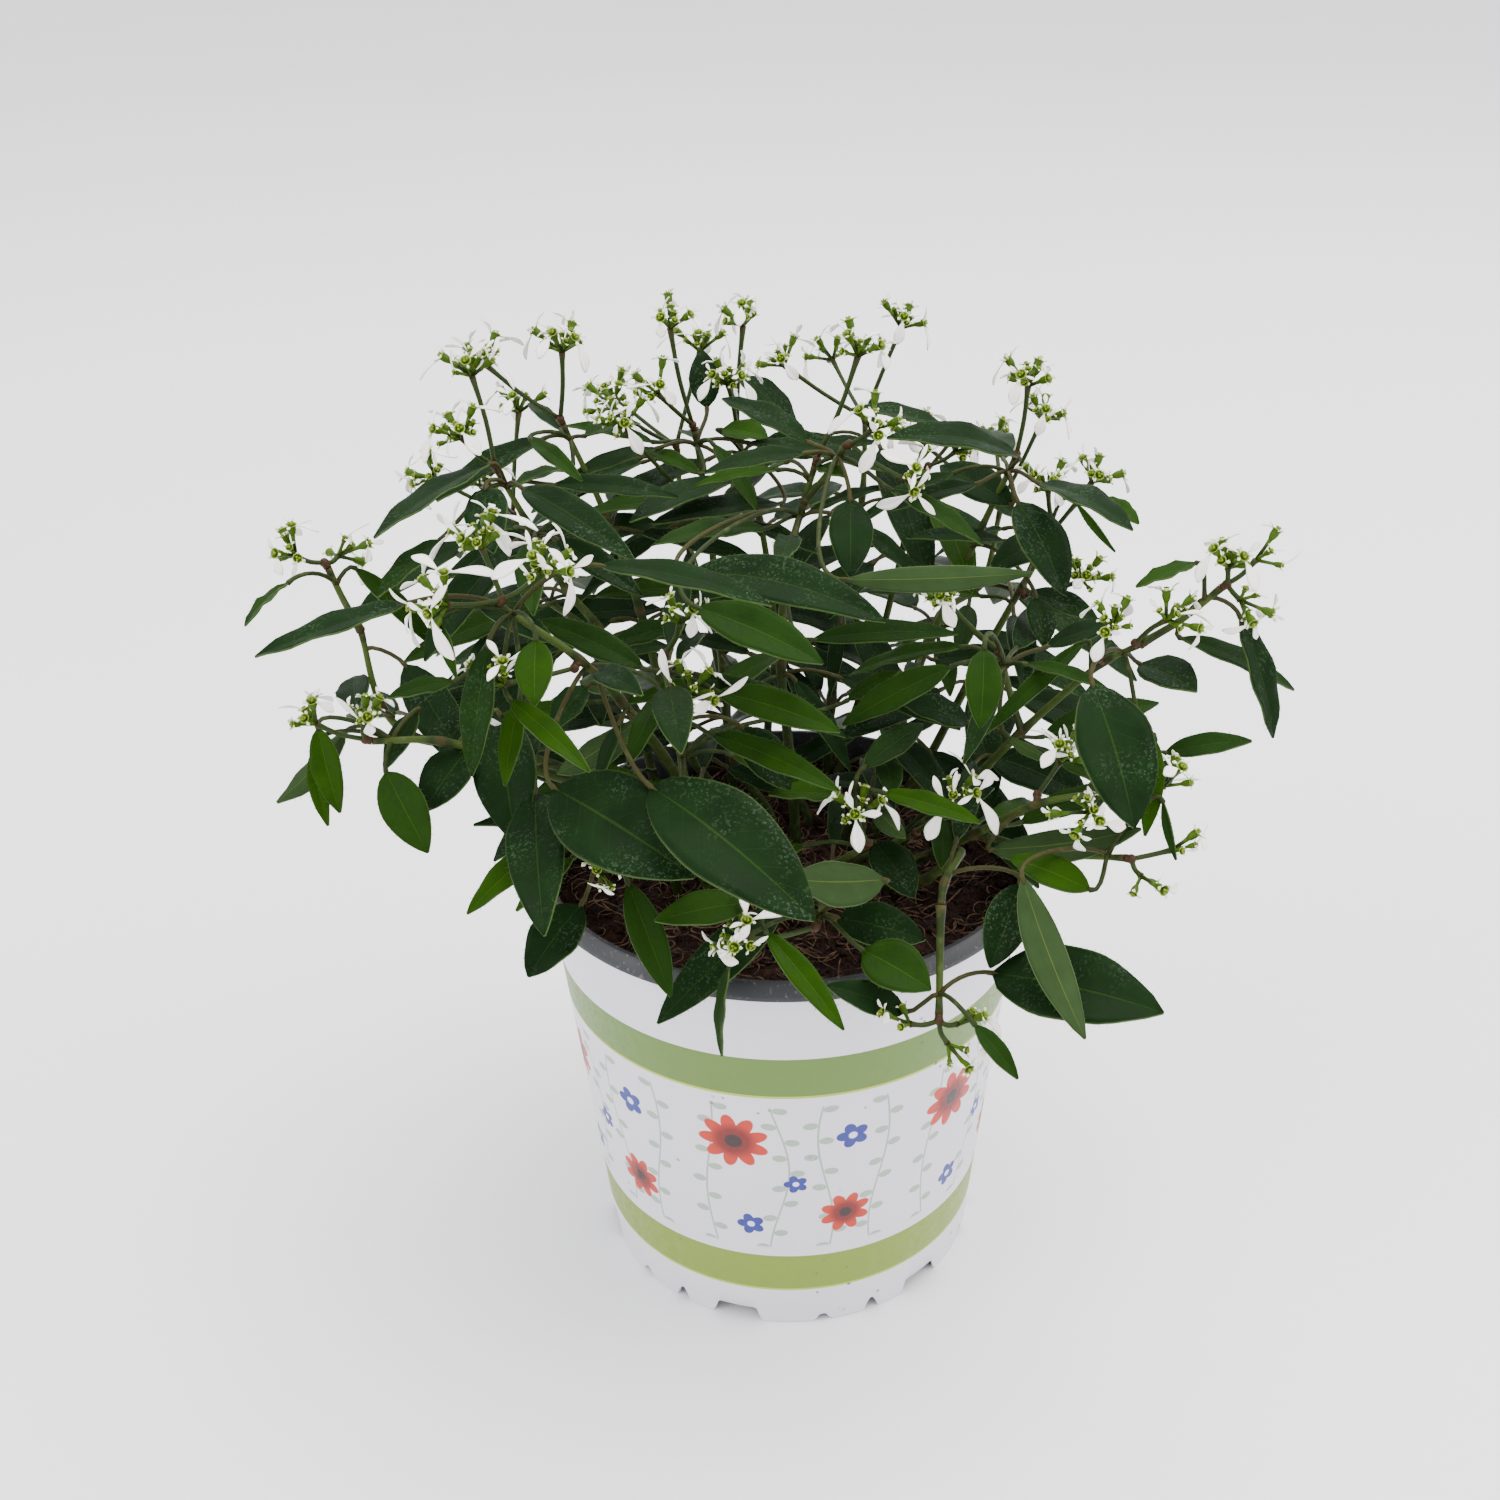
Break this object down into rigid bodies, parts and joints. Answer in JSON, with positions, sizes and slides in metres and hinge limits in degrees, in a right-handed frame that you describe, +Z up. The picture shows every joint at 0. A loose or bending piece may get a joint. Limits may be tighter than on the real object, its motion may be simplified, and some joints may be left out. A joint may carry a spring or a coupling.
{
  "type": "potted euphorbia",
  "caption": "Potted euphorbia with thin branching stems, narrow dark green leaves and airy sprays of small white flowers, in a tapered plastic nursery pot full of soil.",
  "frame": {"origin": "middle of the pot's foot, on the surface that it stands on, which is also the middle of the plant's bounding box seen from above, to within 2 mm", "axes": "+Z up along the pot's axis, -Y towards the side of the pot that faces the viewer, +X to that viewer's right"},
  "size_m": [0.2198, 0.1868, 0.2336],
  "materials": {
    "pot": "satin",
    "soil": "matt",
    "stem": "satin",
    "spray": "satin"
  },
  "bodies": {
    "root": {"pot": "pot", "soil": "soil", "spray_back_left_1": "spray", "spray_back_mid_left_1": "spray", "spray_back_mid_right_1": "spray", "spray_back_right_1": "spray", "spray_centre_bloom_1": "spray", "spray_centre_bloom_2": "spray", "spray_centre_tall_1": "spray", "spray_centre_tall_2": "spray", "spray_far_left_1": "spray", "spray_front_bloom_1": "spray", "spray_front_left_1": "spray", "spray_front_mid_1": "spray", "spray_front_right_1": "spray", "spray_left_tall_1": "spray", "spray_left_twin_1": "spray", "spray_low_left_1": "spray", "spray_mid_left_1": "spray", "spray_mid_left_2": "spray", "spray_right_bloom_1": "spray", "spray_right_low_1": "spray", "spray_right_low_2": "spray", "spray_right_low_3": "spray", "spray_right_main_1": "spray", "spray_right_main_2": "spray", "spray_right_main_3": "spray", "spray_right_main_4": "spray", "spray_right_tall_1": "spray", "spray_right_upper_1": "spray", "spray_right_upper_2": "spray", "spray_top_left_1": "spray", "spray_top_left_2": "spray", "spray_top_mid_1": "spray", "spray_top_right_1": "spray", "stem_back_left": "stem", "stem_back_mid_left": "stem", "stem_back_mid_right": "stem", "stem_back_right": "stem", "stem_centre_bloom": "stem", "stem_centre_tall": "stem", "stem_far_left": "stem", "stem_front_bloom": "stem", "stem_front_left": "stem", "stem_front_mid": "stem", "stem_front_right": "stem", "stem_left_tall": "stem", "stem_left_twin": "stem", "stem_low_left": "stem", "stem_mid_left": "stem", "stem_right_bloom": "stem", "stem_right_low": "stem", "stem_right_main": "stem", "stem_right_tall": "stem", "stem_right_upper": "stem", "stem_top_left": "stem", "stem_top_mid": "stem", "stem_top_right": "stem"}
  },
  "joints": []
}
